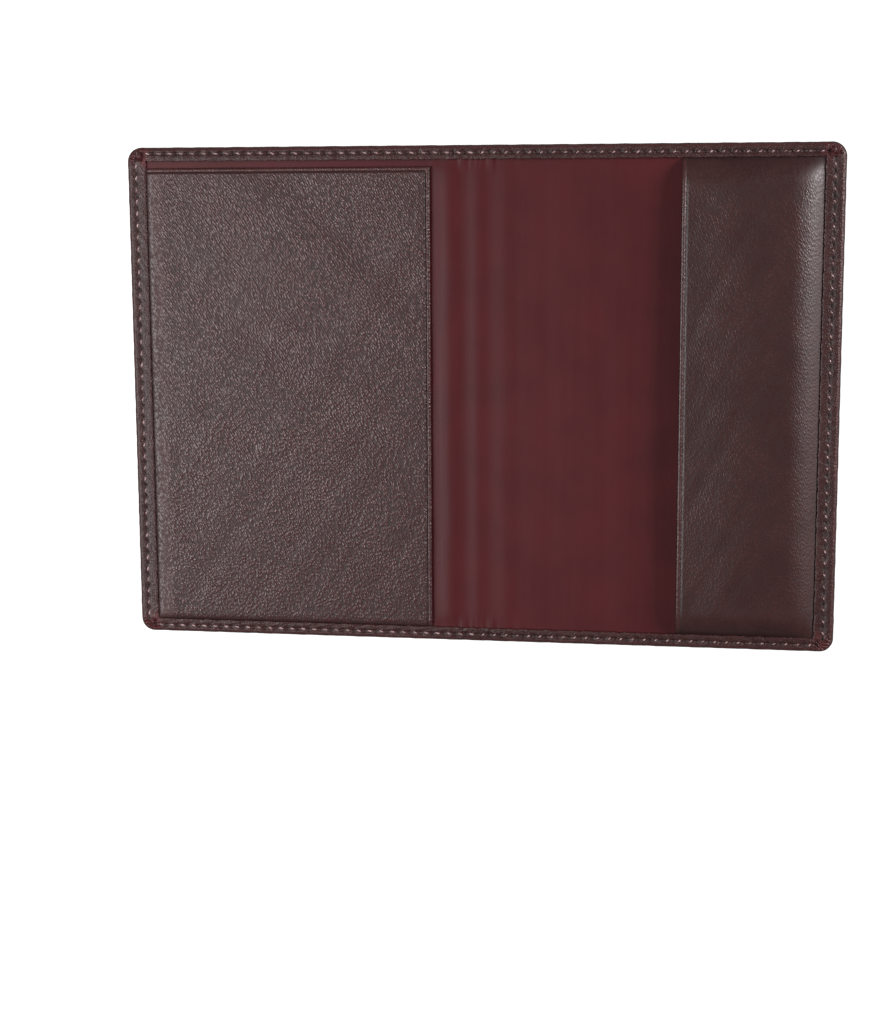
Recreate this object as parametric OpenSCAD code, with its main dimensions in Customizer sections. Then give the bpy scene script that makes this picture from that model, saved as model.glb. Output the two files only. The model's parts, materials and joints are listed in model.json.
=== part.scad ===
// Travel document organizer: a stitched leather bifold cover that holds a passport in a
// sleeve on its back cover and loose papers in a pocket on its front cover.
//
// It is drawn lying open with its inside up. +Z is up, +Y points to the head edge, +X to the
// back cover's fore-edge. The origin is the middle of the spine on the surface it lies on.
// Both covers fold up and over about the two fold lines at the sides of the spine.

/* [Cover] */
// Width lying open, from fore-edge to fore-edge
open_w = 200; // [180:1:240]
// Height from tail edge to head edge
cover_h = 140; // [134:1:180]
// Radius of the four outer corners
corner_r = 4; // [2.5:0.5:8]

/* [Layers] */
// Thickness of the outer leather
outer_t = 0.9; // [0.7:0.1:1.6]
// Thickness of the stiffener boards and of the spine stay
board_t = 0.5; // [0.3:0.1:1.2]
// Thickness of the lining
lining_t = 0.3; // [0.2:0.1:0.8]
// Thickness of the skived pocket margins that are caught under the turned edge
margin_t = 0.3; // [0.2:0.1:0.6]
// Thickness of the turned edge above those margins
hem_t = 0.5; // [0.4:0.1:1]

/* [Turned edge] */
// Thickness of the leather where it rolls round the outer edge
edge_wall = 1.2; // [0.8:0.1:2]
// Width of the turned edge along the head and the tail
hem_w = 4; // [3.6:0.1:7]
// Width of the turned edge along the fore-edges
fore_hem_w = 5.5; // [3.8:0.1:9]

/* [Passport sleeve] */
// Height of the room under the sleeve, for one passport
sleeve_room = 4.4; // [4.2:0.1:9]
// Thickness of the sleeve leather
sleeve_t = 0.8; // [0.6:0.1:1.4]
// Distance from the fore-edge to the mouth of the sleeve
sleeve_reach = 43.6; // [30:0.2:60]
// Run over which the sleeve slopes down to the head and tail hems
sleeve_slope = 3.3; // [2:0.1:8]
// Run over which the sleeve drops to the fore-edge hem
sleeve_drop = 2.4; // [1.6:0.1:8]

/* [Ticket pocket] */
// Height of the room under the pocket panel, for tickets and loose papers
pocket_room = 0.4; // [0.3:0.1:1.5]
// Thickness of the pocket leather
pocket_t = 0.8; // [0.6:0.1:1.4]
// Distance from the fold line to the free side of the pocket
pocket_fold_gap = 9.2; // [4:0.2:30]
// Distance from the head hem to the free top of the pocket
pocket_head_gap = 2; // [1:0.1:30]
// Width of the glued seam strip inside the pocket
pocket_seam = 1; // [0.6:0.1:3]

/* [Seam] */
// Distance from the outer edge to the middle of the seam
seam_inset = 2.2; // [1.9:0.1:3]
// Length of one stitch pitch
stitch_pitch = 3.3; // [2.4:0.1:5]
// Gap between one stitch and the next
stitch_gap = 0.8; // [0.5:0.1:1.5]
// Width of the thread
thread_w = 0.7; // [0.4:0.1:1]
// Height of the thread as it lies in its groove
thread_h = 0.45; // [0.3:0.05:0.6]
// Depth of the groove in the inside face
inner_groove = 0.35; // [0.2:0.05:0.45]
// Depth of the groove in the outside face
outer_groove = 0.5; // [0.35:0.05:0.6]

/* [Ornament] */
// Radius of the compass rose pressed into the front cover's outside
rose_r = 18; // [10:1:24]
// Height of the rose's centre above the middle of the cover
rose_y = 4; // [-10:1:20]
// Height of the head row of lozenges above the middle of the cover
head_row_y = 40; // [30:1:50]
// Length of the head row of lozenges
head_row_w = 46; // [20:1:70]
// Distance of the first tail row of lozenges below the middle of the cover
tail_row_y = 33; // [24:1:50]
// Length of the first tail row of lozenges
tail_row_w = 33; // [20:1:70]
// Height of one lozenge
lozenge_h = 5; // [3:0.5:8]
// Width of the pressed rings
ring_w = 1; // [0.5:0.1:2]
// Depth of the pressed ornament
press_depth = 0.3; // [0.1:0.05:0.5]

/* [Fold] */
// Space left between the ticket pocket and the sleeve when the covers are closed
closed_clear = 1.2; // [0.6:0.1:6]
// Gap between the solids on the two sides of a fold line
fold_gap = 0.3; // [0.2:0.05:0.6]
// Distance from a fold line to the stiffener board
board_setback = 1.2; // [0.6:0.1:4]

/* [Hidden] */

// Colours of the real materials
LEATHER = "#5c4746";
SLEEVE_LEATHER = "#4d3737";
LINING = "#5c2e30";
BOARD = "#b9ab92";
THREAD = "#7a4a4c";

// Heights of the layers above the surface that the object lies on
board_z = outer_t;
lining_z = board_z + board_t;
inside_z = lining_z + lining_t;
margin_z = inside_z + margin_t;
edge_z = margin_z + hem_t;
pocket_z = inside_z + pocket_room;
pocket_top = pocket_z + pocket_t;
sleeve_z = inside_z + sleeve_room;
sleeve_top = sleeve_z + sleeve_t;

// The spine is as wide as the closed covers are apart between their linings
spine_w = sleeve_room + sleeve_t + pocket_room + pocket_t + closed_clear;
fold_x = spine_w / 2;
cover_w = open_w / 2 - fold_x - fold_gap / 2;
spine_body_w = spine_w - fold_gap;

// Sleeve and pocket outlines, measured from the fold side of a cover
hem_x = cover_w - fore_hem_w;
hem_y = cover_h / 2 - hem_w;
mouth_x = cover_w - sleeve_reach;
pocket_x = pocket_fold_gap - fold_gap / 2;
pocket_y = hem_y - pocket_head_gap;

// The seam: the thread lies in a groove that is a little wider than it
thread_clear = 0.1;
smallest_r = 0.3;
groove_w = thread_w + 2 * thread_clear;
seam_r = max(corner_r - seam_inset, smallest_r);
seam_x = cover_w - seam_inset;
seam_y = cover_h / 2 - seam_inset;
stitch_bar = stitch_pitch - stitch_gap - thread_w;
corner_bar = seam_r * 0.6;
inner_stitch_z = edge_z - inner_groove;
outer_stitch_z = outer_groove - thread_h;

// The turned edge is bevelled at the folds from the height of the lining up. Rows of
// stitches start clear of that bevel.
bevel_rise = edge_z - inside_z;
row_start = bevel_rise + stitch_gap / 4;

// Numbers of facets on curves, and how far a cutter runs past what it cuts
arc_steps = 48;
thread_steps = 16;
far = 1;

// ---------- outlines ----------

// One cover seen from above, taken in by inset on its three outer sides. x = 0 is its fold
// side, which is moved out to start.
module cover_outline(inset = 0, start = 0) {
  r = max(corner_r - inset, smallest_r);
  w = cover_w - inset;
  h = cover_h - 2 * inset;
  union() {
    translate([start, -h / 2 + r]) square([w - start, h - 2 * r]);
    translate([start, -h / 2]) square([w - r - start, h]);
    for (side = [-1, 1])
      translate([w - r, side * (h / 2 - r)]) circle(r = r, $fn = arc_steps);
  }
}

// The strip of the seam groove round one cover.
module seam_track() {
  difference() {
    cover_outline(seam_inset - groove_w / 2, 0);
    cover_outline(seam_inset + groove_w / 2, -far);
  }
}

// A slab of the shape of its 2D children, from height low to height high.
module slab(low, high) {
  translate([0, 0, low]) linear_extrude(high - low) children();
}

// A bar along Y with the given outline in X and Z.
module bar_along_y(points, length) {
  translate([0, length / 2, 0]) rotate([90, 0, 0]) linear_extrude(length) polygon(points);
}

// A bar along X from x = low to x = high, with the given outline in Y and Z.
module bar_along_x(points, low, high) {
  translate([low, 0, 0]) rotate([90, 0, 90]) linear_extrude(high - low) polygon(points);
}

// The wedge cut off the turned edge at a fold side, so that it clears its neighbour as the
// cover folds up.
module fold_bevel() {
  rise = bevel_rise + far;
  bar_along_y([[-far, inside_z], [0, inside_z], [rise, inside_z + rise],
               [-far, inside_z + rise]], cover_h + 2 * far);
}

// ---------- layers of one cover, drawn on the back cover's side ----------

module place(side) {
  if (side == "back") translate([fold_x + fold_gap / 2, 0, 0]) children();
  else mirror([1, 0, 0]) translate([fold_x + fold_gap / 2, 0, 0]) children();
}

module cover_leather() {
  difference() {
    slab(0, outer_t) cover_outline();
    slab(-far, outer_groove) seam_track();
  }
}

module cover_board() {
  slab(board_z, lining_z) intersection() {
    cover_outline(edge_wall);
    translate([board_setback, -cover_h / 2]) square([cover_w, cover_h]);
  }
}

module cover_lining() {
  slab(lining_z, inside_z) cover_outline(edge_wall);
}

// The leather turned over the edge: the rolled wall, and the hem on the inside. margins is
// the solid of the pocket margins that lie under it.
module turned_edge() {
  difference() {
    union() {
      slab(outer_t, edge_z) difference() {
        cover_outline();
        cover_outline(edge_wall, -far);
      }
      slab(inside_z, edge_z) difference() {
        cover_outline();
        translate([-far, -hem_y]) square([hem_x + far, 2 * hem_y]);
      }
    }
    children();
    slab(edge_z - inner_groove, edge_z + far) seam_track();
    fold_bevel();
  }
}

// ---------- passport sleeve ----------

// The skived margin of the sleeve, under the hem on three sides.
module sleeve_margin() {
  slab(inside_z, margin_z) difference() {
    intersection() {
      cover_outline(edge_wall);
      translate([mouth_x, -cover_h / 2]) square([cover_w, cover_h]);
    }
    translate([mouth_x - far, -hem_y]) square([hem_x - mouth_x + far, 2 * hem_y]);
  }
}

// A filled block under the sleeve's outer face, or under its inner face when skin is the
// thickness of the leather.
module sleeve_block(skin, past_mouth) {
  top = sleeve_top - skin;
  end_x = hem_x - skin;
  end_y = hem_y - skin;
  low = inside_z - (skin > 0 ? far : 0);
  intersection() {
    bar_along_y([[mouth_x - past_mouth, low], [mouth_x - past_mouth, top],
                 [end_x - sleeve_drop + skin, top], [end_x, margin_z],
                 [end_x, low]], cover_h);
    bar_along_x([[-end_y, low], [-end_y, margin_z], [-end_y + sleeve_slope - skin, top],
                 [end_y - sleeve_slope + skin, top], [end_y, margin_z], [end_y, low]],
                mouth_x - 2 * far, cover_w);
  }
}

module sleeve() {
  union() {
    difference() {
      sleeve_block(0, 0);
      sleeve_block(sleeve_t, far);
    }
    sleeve_margin();
  }
}

// ---------- ticket pocket ----------

// The skived margin of the pocket, under the hem at the fore-edge and the tail.
module pocket_margin() {
  slab(inside_z, margin_z) difference() {
    intersection() {
      cover_outline(edge_wall);
      translate([pocket_x, -cover_h / 2]) square([cover_w, cover_h / 2 + pocket_y]);
    }
    translate([pocket_x - far, -hem_y])
      square([hem_x - pocket_x + far, cover_h]);
  }
}

module pocket() {
  union() {
    difference() {
      slab(inside_z, pocket_top)
        translate([pocket_x, -hem_y]) square([hem_x - pocket_x, hem_y + pocket_y]);
      slab(inside_z - far, pocket_z)
        translate([pocket_x - far, -hem_y + pocket_seam])
          square([hem_x - pocket_x - pocket_seam + far, cover_h]);
    }
    pocket_margin();
  }
}

// ---------- spine ----------

module spine_rect(inset = 0) {
  square([spine_body_w, cover_h - 2 * inset], center = true);
}

// The two strips of the seam groove across the spine.
module spine_track() {
  for (side = [-1, 1])
    translate([0, side * (cover_h / 2 - seam_inset)])
      square([spine_body_w + far, groove_w], center = true);
}

module spine_edge() {
  difference() {
    union() {
      slab(outer_t, edge_z) difference() {
        spine_rect();
        square([spine_body_w + far, cover_h - 2 * edge_wall], center = true);
      }
      slab(inside_z, edge_z) difference() {
        spine_rect();
        square([spine_body_w + far, 2 * hem_y], center = true);
      }
    }
    slab(edge_z - inner_groove, edge_z + far) spine_track();
    for (side = [0, 1])
      mirror([side, 0, 0]) translate([-spine_body_w / 2, 0, 0]) fold_bevel();
  }
}

// ---------- stitches ----------

// One stitch, a flat bar with round ends, lying along X.
module stitch(bar = stitch_bar) {
  linear_extrude(thread_h) union() {
    square([bar, thread_w], center = true);
    for (end = [-1, 1]) translate([end * bar / 2, 0]) circle(d = thread_w, $fn = thread_steps);
  }
}

// An even row of stitches along X, from x = low to x = high.
module stitch_row(low, high) {
  count = floor((high - low + stitch_gap) / stitch_pitch);
  step = (high - low + stitch_gap) / count;
  for (i = [0 : count - 1]) translate([low + (i + 0.5) * step - stitch_gap / 2, 0, 0]) stitch();
}

// The seam round one cover, with its underside at height z. One short stitch turns each
// corner.
module cover_stitches(z) {
  turn_x = seam_x - seam_r;
  turn_y = seam_y - seam_r;
  translate([0, 0, z]) {
    for (side = [-1, 1]) {
      translate([0, side * seam_y, 0]) stitch_row(row_start, turn_x - stitch_gap / 2);
      translate([turn_x, side * turn_y, 0]) rotate([0, 0, side * 45])
        translate([seam_r, 0, 0]) rotate([0, 0, 90]) stitch(corner_bar);
    }
    translate([seam_x, 0, 0]) rotate([0, 0, 90])
      stitch_row(-turn_y + stitch_gap / 2, turn_y - stitch_gap / 2);
  }
}

module spine_stitches(z) {
  edge = spine_body_w / 2 - row_start;
  for (side = [-1, 1]) translate([0, side * seam_y, z]) stitch_row(-edge, edge);
}

// ---------- ornament ----------

// A ring whose outer radius is r.
module ring(r) {
  difference() {
    circle(r = r, $fn = arc_steps);
    circle(r = r - ring_w, $fn = arc_steps);
  }
}

// A star of points alternately long and short, with a waist between them.
module star(points, long, short, waist) {
  function reach(i) = i % 2 == 1 ? waist : i % 4 == 0 ? long : short;
  polygon([for (i = [0 : 2 * points - 1]) reach(i) * [sin(180 * i / points),
                                                      cos(180 * i / points)]]);
}

module lozenge() {
  half = lozenge_h / 2;
  polygon([[-half, 0], [0, half], [half, 0], [0, -half]]);
}

// A row of lozenges of about the given length, centred on x = 0.
module lozenge_row(length) {
  step = lozenge_h + ring_w;
  count = floor((length + ring_w) / step);
  for (i = [0 : count - 1]) translate([(i - (count - 1) / 2) * step, 0]) lozenge();
}

// The compass rose and its rows of lozenges, upright and centred on x = 0.
module ornament() {
  star_r = rose_r - 3 * ring_w;
  translate([0, rose_y]) {
    ring(rose_r);
    star(8, star_r, star_r * 0.7, star_r * 0.3);
  }
  translate([0, head_row_y]) lozenge_row(head_row_w);
  translate([0, -tail_row_y]) lozenge_row(tail_row_w);
  translate([0, -tail_row_y - lozenge_h - 3 * ring_w])
    lozenge_row(tail_row_w - lozenge_h - ring_w);
}

// ---------- nodes ----------

module outer_back() { color(LEATHER) place("back") cover_leather(); }
module board_back() { color(BOARD) place("back") cover_board(); }
module lining_back() { color(LINING) place("back") cover_lining(); }
module turned_edge_back() { color(LEATHER) place("back") turned_edge() sleeve_margin(); }
module passport_sleeve() { color(SLEEVE_LEATHER) place("back") sleeve(); }
module needle_thread_back() { color(THREAD) place("back") cover_stitches(outer_stitch_z); }
module bobbin_thread_back() { color(THREAD) place("back") cover_stitches(inner_stitch_z); }

module outer_spine() {
  color(LEATHER) difference() {
    slab(0, outer_t) spine_rect();
    slab(-far, outer_groove) spine_track();
  }
}
module spine_stay() { color(BOARD) slab(board_z, lining_z) spine_rect(edge_wall); }
module lining_spine() { color(LINING) slab(lining_z, inside_z) spine_rect(edge_wall); }
module turned_edge_spine() { color(LEATHER) spine_edge(); }
module needle_thread_spine() { color(THREAD) spine_stitches(outer_stitch_z); }
module bobbin_thread_spine() { color(THREAD) spine_stitches(inner_stitch_z); }

module outer_front() {
  color(LEATHER) place("front") difference() {
    cover_leather();
    slab(-far, press_depth) translate([cover_w / 2, 0]) ornament();
  }
}
module board_front() { color(BOARD) place("front") cover_board(); }
module lining_front() { color(LINING) place("front") cover_lining(); }
module turned_edge_front() { color(LEATHER) place("front") turned_edge() pocket_margin(); }
module ticket_pocket() { color(LEATHER) place("front") pocket(); }
module needle_thread_front() { color(THREAD) place("front") cover_stitches(outer_stitch_z); }
module bobbin_thread_front() { color(THREAD) place("front") cover_stitches(inner_stitch_z); }

outer_back();
board_back();
lining_back();
turned_edge_back();
passport_sleeve();
needle_thread_back();
bobbin_thread_back();
outer_spine();
spine_stay();
lining_spine();
turned_edge_spine();
needle_thread_spine();
bobbin_thread_spine();
outer_front();
board_front();
lining_front();
turned_edge_front();
ticket_pocket();
needle_thread_front();
bobbin_thread_front();
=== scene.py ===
"""A leather bifold cover for travel papers, lying open, with its look built round the CAD frame.

Inside the geometry functions every length is in millimetres. A mesh is scaled to metres when
it is made. +X is the back cover's side, +Y the head, +Z out of the inside faces.
"""

import json
import math

import bmesh
import bpy
import numpy as np
from mathutils import Matrix, Vector


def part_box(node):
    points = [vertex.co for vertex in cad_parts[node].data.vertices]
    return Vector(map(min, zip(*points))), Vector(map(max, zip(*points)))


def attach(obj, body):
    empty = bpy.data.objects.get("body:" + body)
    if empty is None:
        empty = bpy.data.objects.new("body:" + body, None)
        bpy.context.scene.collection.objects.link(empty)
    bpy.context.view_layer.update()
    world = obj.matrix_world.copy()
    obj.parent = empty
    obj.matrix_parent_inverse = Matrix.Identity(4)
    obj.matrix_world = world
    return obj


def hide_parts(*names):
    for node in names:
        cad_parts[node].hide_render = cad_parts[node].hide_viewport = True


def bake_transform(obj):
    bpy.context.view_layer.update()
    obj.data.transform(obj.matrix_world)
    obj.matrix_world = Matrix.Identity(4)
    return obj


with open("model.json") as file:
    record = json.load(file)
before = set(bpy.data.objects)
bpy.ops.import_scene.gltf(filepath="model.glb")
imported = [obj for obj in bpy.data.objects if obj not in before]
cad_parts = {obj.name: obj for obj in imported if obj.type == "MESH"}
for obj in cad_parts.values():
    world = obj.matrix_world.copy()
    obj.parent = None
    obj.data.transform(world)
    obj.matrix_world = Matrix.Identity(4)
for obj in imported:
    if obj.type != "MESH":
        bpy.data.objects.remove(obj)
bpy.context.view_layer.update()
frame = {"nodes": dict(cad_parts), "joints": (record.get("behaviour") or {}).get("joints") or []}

MM = 0.001


# ---------- sizes, from the frame ----------

def box(node):
    """Lowest and highest corner of a CAD node, in millimetres."""
    return [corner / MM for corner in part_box(node)]


def joint(name):
    """A joint's place, in millimetres."""
    found = next(j for j in frame["joints"] if j["name"] == name)
    return Vector(found["pos_m"]) / MM


COVER, EDGE = box("outer_back"), box("turned_edge_back")
BOARD, LINING = box("board_back"), box("lining_back")
SLEEVE, POCKET = box("passport_sleeve"), box("ticket_pocket")
HALF_W, HALF_H = COVER[1].x, COVER[1].y
OUTER_Z, EDGE_Z = COVER[1].z, EDGE[1].z
BOARD_Z, LINING_Z = BOARD[1].z, LINING[1].z
FOLD_X, _, FOLD_Z = joint("back_fold")

# The turned edge: widths of the hem, radius of the outer corners, thickness over a margin
HEM_W, FORE_HEM_W = 4.0, 5.5
CORNER_R, TIGHT_R = 4.0, 0.3
HEM_X, HEM_Y = HALF_W - FORE_HEM_W, HALF_H - HEM_W
MARGIN_Z = LINING_Z + 0.3

# The sleeve and the pocket: how far their margins run under the hem, how thick they are
MARGIN_X, MARGIN_Y = HALF_W - 2.2, HALF_H - 2.2
THICK = 0.8

# The seam. It was sewn by eye, so it runs closer to the rim in some places than in others
SEAM_INSET, PITCH = 2.2, 3.3
SEAM_DRIFT, TAIL_DRIFT = 0.35, 0.15
FORE_SEAM = {"back": 3.0, "front": 2.6}
COLUMNS, ARC_COLUMNS = 8, 40


# ---------- small helpers ----------

def ease(t):
    """A smooth step from 0 to 1 as t goes from 0 to 1."""
    t = np.clip(t, 0, 1)
    return t * t * (3 - 2 * t)


def hump(t, width):
    """A smooth hump of height 1 at t = 0."""
    return np.exp(-(t / width) ** 2)


def wobble(s, length, phase):
    """An uneven wave between about -1 and 1, whose waves are about length long."""
    turn = 2 * np.pi / length
    return (np.sin(turn * s + phase) + 0.7 * np.sin(1.618 * turn * s + 2.3 * phase)
            + 0.4 * np.sin(2.71 * turn * s + 4.1 * phase)) / 2.1


def stepped(*stops):
    """Positions from stop to stop. Each stop is (position, step from here on)."""
    out = []
    for (start, step), (end, _) in zip(stops, stops[1:]):
        out.extend(np.linspace(start, end, max(1, round((end - start) / step)), endpoint=False))
    return np.array(out + [stops[-1][0]])


def add_object(name, data):
    made = bpy.data.objects.new(name, data)
    bpy.context.scene.collection.objects.link(made)
    return made


def keep_place(data):
    """Notes where each point of the flat piece is, in millimetres, so that its grain bends
    with it."""
    place = np.empty(3 * len(data.vertices), np.float32)
    data.vertices.foreach_get("co", place)
    data.attributes.new("place", "FLOAT_VECTOR", "POINT").data.foreach_set("vector", place / MM)


class Solid:
    """The points and faces of one piece, gathered part by part."""

    def __init__(self):
        self.points, self.faces, self.count = [], [], 0

    def add(self, points):
        """Adds points (n x 3) and returns their numbers."""
        start = self.count
        self.points.append(np.asarray(points, float))
        self.count += len(points)
        return np.arange(start, self.count)

    def strip(self, inner, outer):
        """Quads between two rows of point numbers."""
        self.faces += list(zip(inner[:-1], outer[:-1], outer[1:], inner[1:]))

    def mesh(self, name, material, mirrored=False, marks=None, sharp=38):
        """The finished piece, in metres. marks are per-point values that its material reads."""
        points = np.concatenate(self.points) * MM
        if mirrored:
            points[:, 0] *= -1
        data = bpy.data.meshes.new(name)
        data.from_pydata(points.tolist(), [], [[int(i) for i in f] for f in self.faces])
        shell = bmesh.new()
        shell.from_mesh(data)
        bmesh.ops.recalc_face_normals(shell, faces=shell.faces)
        shell.to_mesh(data)
        shell.free()
        keep_place(data)
        for mark, values in (marks or {}).items():
            attribute = data.attributes.new(mark, "FLOAT", "POINT")
            attribute.data.foreach_set("value", np.asarray(values, np.float32))
        data.shade_smooth()
        data.set_sharp_from_angle(angle=math.radians(sharp))
        data.materials.append(material)
        return add_object(name, data)


def sheet_solid(xs, ys, top, under):
    """A closed sheet over a rectangular grid; top and under give the heights of its faces."""
    x, y = np.meshgrid(xs, ys)
    solid = Solid()
    shape = x.shape
    high = solid.add(np.stack([x, y, top(x, y)], -1).reshape(-1, 3)).reshape(shape)
    low = solid.add(np.stack([x, y, under(x, y)], -1).reshape(-1, 3)).reshape(shape)
    for row in range(shape[0] - 1):
        solid.strip(high[row], high[row + 1])
        solid.strip(low[row + 1], low[row])
    for a, b in ((high[0], low[0]), (low[-1], high[-1]), (low[:, 0], high[:, 0]),
                 (high[:, -1], low[:, -1])):
        solid.strip(a, b)
    return solid, x, y


# ---------- the line round a cover ----------

LONG_STITCHES = round((HALF_W - CORNER_R) / PITCH)
SIDE_STITCHES = round(2 * (HALF_H - CORNER_R) / PITCH)
LONG = np.linspace(0, 1, LONG_STITCHES * COLUMNS + 1)
SIDE = np.linspace(1, -1, SIDE_STITCHES * COLUMNS + 1)
ARC = np.linspace(math.pi / 2, 0, ARC_COLUMNS + 1)[1:-1]
LAST_LONG, FIRST_SIDE = len(LONG) - 1, len(LONG) - 1 + ARC_COLUMNS
LAST_SIDE = FIRST_SIDE + len(SIDE) - 1


def rim_centre(dx, dy):
    """Centre and radius of the head corner of the rim, taken in by dx and dy."""
    r = max(CORNER_R - min(dx, dy), TIGHT_R)
    return HALF_W - dx - r, HALF_H - dy - r, r


def rim(dx, dy):
    """The line round one cover from the middle of the spine, past the head, the fore-edge and
    the tail, and back: taken in by dx at the fore-edge and dy at the head and tail."""
    cx, cy, r = rim_centre(dx, dy)
    head = np.stack([LONG * cx, np.full(len(LONG), cy + r)], 1)
    arc = np.stack([cx + r * np.cos(ARC), cy + r * np.sin(ARC)], 1)
    side = np.stack([np.full(len(SIDE), cx + r), SIDE * cy], 1)
    tail = [1, -1]
    return np.concatenate([head, arc, side, arc[::-1] * tail, head[::-1] * tail])


def drift(x, y, half):
    """How far the seam's line is shifted along Y at x, y."""
    out = x if half == "back" else -x
    head_share = ease(0.5 + y / HALF_H / 2)
    return -head_share * SEAM_DRIFT * out / HALF_W - (1 - head_share) * TAIL_DRIFT


def seam_gap(x, y, half):
    """Distance from the seam's line, at most about 2 mm off, positive towards the rim."""
    cx, cy, r = rim_centre(FORE_SEAM[half], SEAM_INSET)
    u, v = x - cx, np.abs(y - drift(x, y, half)) - cy
    return np.hypot(np.clip(u, 0, None), np.clip(v, 0, None)) + np.minimum(
        np.maximum(u, v), 0) - r


def needle_holes(half):
    """The points where the thread goes through one cover, in order along the seam."""
    long_holes = np.arange(0, LAST_LONG + 1, COLUMNS)
    side_holes = np.arange(FIRST_SIDE, LAST_SIDE + 1, COLUMNS)
    tail_holes = LAST_SIDE + ARC_COLUMNS + long_holes
    seam = rim(FORE_SEAM[half], SEAM_INSET)[
        np.concatenate([long_holes, side_holes, tail_holes])]
    seam[:, 1] += drift(seam[:, 0], seam[:, 1], half)
    return seam


HOLES = {half: needle_holes(half) for half in ("back", "front")}


def hole_distance(xy, half):
    """How far each point is from the nearest needle hole."""
    far = np.full(len(xy), 9.0)
    for part in np.array_split(HOLES[half], 12):
        gap = np.linalg.norm(xy[:, None] - part[None], axis=2).min(1)
        far = np.minimum(far, gap)
    return far


# ---------- outer leather with its turned edge ----------

# Depths of the seam's groove, of its needle holes and of the pucker round each hole
GROOVE, HOLE, PUCKER = 0.16, 0.36, 0.1
# The gathers at each corner: how many, and how high
PLEATS, PLEAT_H = 6, 0.48
# How deep the ornament is pressed
PRESS_DEPTH = 0.3


def ornament_depth(x, y):
    """How deep the compass rose and its rows of lozenges are pressed at x, y, from 0 to 1.
    x is measured from the middle of the cover."""
    soft = 0.42

    def inside(distance):
        return ease(0.5 + distance / soft)

    def band(distance, half):
        return inside(half - np.abs(distance))

    rose_r, rose_y, eye_r = 18.0, 4.0, 1.5
    long_ray, short_ray, waist = 15.0, 10.5, 4.5
    pip_place, pip_r = 13.2, 0.75
    u, v = x, y - rose_y
    rho, phi = np.hypot(u, v), np.arctan2(u, v)
    depth = band(rho - rose_r + 0.5, 0.55)
    # eight rays, long and short by turns, each with one side pressed deeper than the other
    ray_step = math.pi / 4
    ray = np.round(phi / ray_step)
    off = phi - ray * ray_step
    reach = np.where(ray % 2 == 0, long_ray, short_ray)
    along, across = rho * np.cos(off), rho * np.sin(off)
    half_angle = ray_step / 2
    side_x, side_y = waist * math.cos(half_angle), waist * math.sin(half_angle)
    edge = (reach - along) * side_y / (reach - side_x) - np.abs(across)
    facet = 0.62 + 0.38 * np.tanh(across / 0.3)
    depth = np.maximum(depth, inside(edge) * facet)
    depth *= 1 - inside(eye_r - rho) * 0.9
    # small pips between the rays
    gap_off = phi - (np.floor(phi / ray_step) + 0.5) * ray_step
    pip = np.hypot(rho * np.cos(gap_off) - pip_place, rho * np.sin(gap_off))
    depth = np.maximum(depth, inside(pip_r - pip))
    # rows of lozenges at the head and the tail
    size, step = 5.0, 6.0
    for row_y, count in ((40.0, 7), (-33.0, 5), (-41.0, 4)):
        place = np.clip(np.round(x / step + (count - 1) / 2), 0, count - 1)
        cell = x - (place - (count - 1) / 2) * step
        d = size / 2 - np.abs(cell) - np.abs(y - row_y)
        depth = np.maximum(depth, inside(d * 0.7) * (1 - 0.75 * inside(d * 0.7 - 0.75)))
    return depth


def pleat(x, y):
    """Height of the gathers where the edge is turned at a corner, and the painted shade in their
    folds.
    """
    u, v = x - (HALF_W - CORNER_R - 1.2), np.abs(y) - (HALF_H - CORNER_R + 0.2)
    rho, phi = np.hypot(u, v), np.arctan2(v, u) / (math.pi / 2)
    zone = ease((phi + 0.25) / 0.25) * ease((1.3 - phi) / 0.3)
    zone = zone * ease((rho - 0.3) / 0.7) * ease((5.2 - rho) / 1.6) * (u > -1.5) * (v > -1.5)
    lean = phi * PLEATS + 0.45 * np.sin(rho * 1.7 + y) + 0.3 * np.sin(phi * 11 + y)
    ridge = np.abs(np.sin(np.pi * lean))
    return zone * (np.sqrt(ridge) - 0.5), zone * (1 - np.clip(ridge * 1.7, 0, 1)), zone


def on_margin(x, y, half):
    """1 where a pocket's margin lies under the hem, 0 where the hem lies on the lining."""
    if half == "front":
        at_side = ease((x - (HALF_W - FORE_HEM_W - 1)) / 1.5) * (y < POCKET[1].y)
        return np.maximum(at_side, ease((x + POCKET[1].x) / 2) * (y < 0))
    return ease((x - SLEEVE[0].x) / 1.2)


def ragged(x, y, s):
    """Moves the cut edge of the hem in and out a little, most at the spine."""
    jag = 0.12 * wobble(s, 6.0, 0.4) + 0.09 * wobble(s, 1.7, 2.2)
    jag = jag + 0.14 * hump(x, 9.0) * wobble(x, 2.1, 2.9)
    y = y - np.sign(y) * jag * (np.abs(y) > HEM_Y - 0.7)
    return x - jag * (x > HEM_X - 0.7), y


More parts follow.
